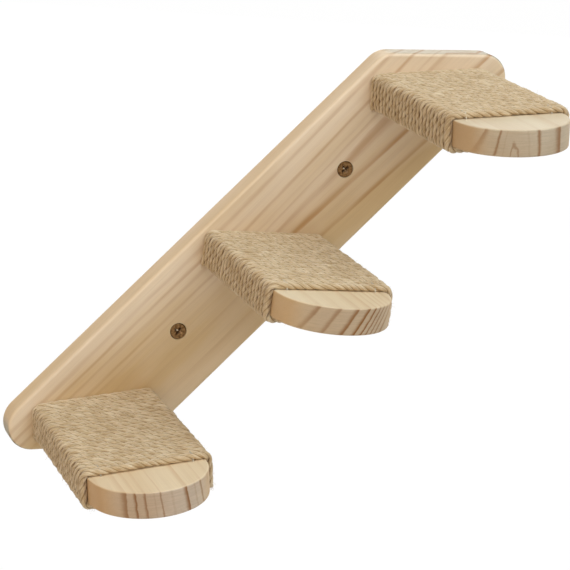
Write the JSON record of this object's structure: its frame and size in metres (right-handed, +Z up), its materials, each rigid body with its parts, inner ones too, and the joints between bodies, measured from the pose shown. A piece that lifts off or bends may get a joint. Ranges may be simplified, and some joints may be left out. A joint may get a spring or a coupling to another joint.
{
  "type": "pet stairs",
  "caption": "Slanted pine wall board carrying half-round treads wrapped in jute cord, as stairs for a cat, held to the wall by countersunk screws.",
  "frame": {"origin": "on the board's back face, halfway between the two wall screws, behind the middle tread", "axes": "+X to the right along the wall, +Y into the wall, +Z up"},
  "size_m": [0.3536, 0.2302, 0.283],
  "materials": {
    "board_pine": "planed pine, unvarnished",
    "tread_pine": "planed pine, unvarnished",
    "jute_cord": "laid jute cord, matte and hairy",
    "zinc_screw": "zinc-plated steel",
    "staple_wire": "galvanised steel wire",
    "bronze_screw": "bronze-toned plated steel"
  },
  "bodies": {
    "stairs": {"back_board": "board_pine", "lower_tread": "tread_pine", "lower_rope_wrap": "jute_cord", "lower_tread_screw_left": "zinc_screw", "lower_tread_screw_right": "zinc_screw", "lower_staple_front_left": "staple_wire", "lower_staple_front_right": "staple_wire", "lower_staple_rear": "staple_wire", "middle_tread": "tread_pine", "middle_rope_wrap": "jute_cord", "middle_tread_screw_left": "zinc_screw", "middle_tread_screw_right": "zinc_screw", "middle_staple_front_left": "staple_wire", "middle_staple_front_right": "staple_wire", "middle_staple_rear": "staple_wire", "upper_tread": "tread_pine", "upper_rope_wrap": "jute_cord", "upper_tread_screw_left": "zinc_screw", "upper_tread_screw_right": "zinc_screw", "upper_staple_front_left": "staple_wire", "upper_staple_front_right": "staple_wire", "upper_staple_rear": "staple_wire"},
    "lower_wall_screw": {"lower_wall_screw": "bronze_screw"},
    "upper_wall_screw": {"upper_wall_screw": "bronze_screw"}
  },
  "joints": [
    {"name": "lower_wall_screw_draw", "type": "slide", "parent": "stairs", "child": "lower_wall_screw", "axis": [0, -1, 0], "range_m": [0, 0.065]},
    {"name": "upper_wall_screw_draw", "type": "slide", "parent": "stairs", "child": "upper_wall_screw", "axis": [0, -1, 0], "range_m": [0, 0.065]}
  ]
}
